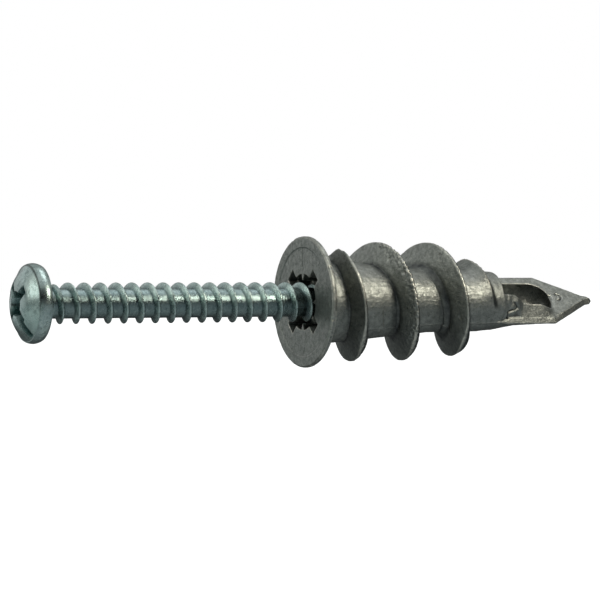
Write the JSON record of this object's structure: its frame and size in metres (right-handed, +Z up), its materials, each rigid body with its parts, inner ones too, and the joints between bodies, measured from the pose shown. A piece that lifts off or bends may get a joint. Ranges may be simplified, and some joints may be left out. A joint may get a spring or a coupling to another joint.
{
  "type": "wall anchor with screw",
  "caption": "Self-drilling plasterboard anchor: flanged hollow body with a coarse wall thread, side channel and spade tip, with its pan-head tapping screw started in it.",
  "frame": {"origin": "centre of the flange's front face, the face the fixture bears on", "axes": "+X along the anchor's axis, from the screw head to the spade tip, into the wall; +Z up; +Y completes a right-handed frame"},
  "size_m": [0.0716, 0.0144, 0.0144],
  "materials": {
    "zinc_casting": "as-cast dull grey zinc alloy",
    "plated_steel": "bright blue-white zinc plating"
  },
  "bodies": {
    "anchor": {"anchor_body": "zinc_casting"},
    "screw": {"screw": "plated_steel"}
  },
  "joints": [
    {"name": "screw_drive_in", "type": "slide", "parent": "anchor", "child": "screw", "axis": [1, 0, 0], "range_m": [-0.00549, 0.02745]}
  ]
}
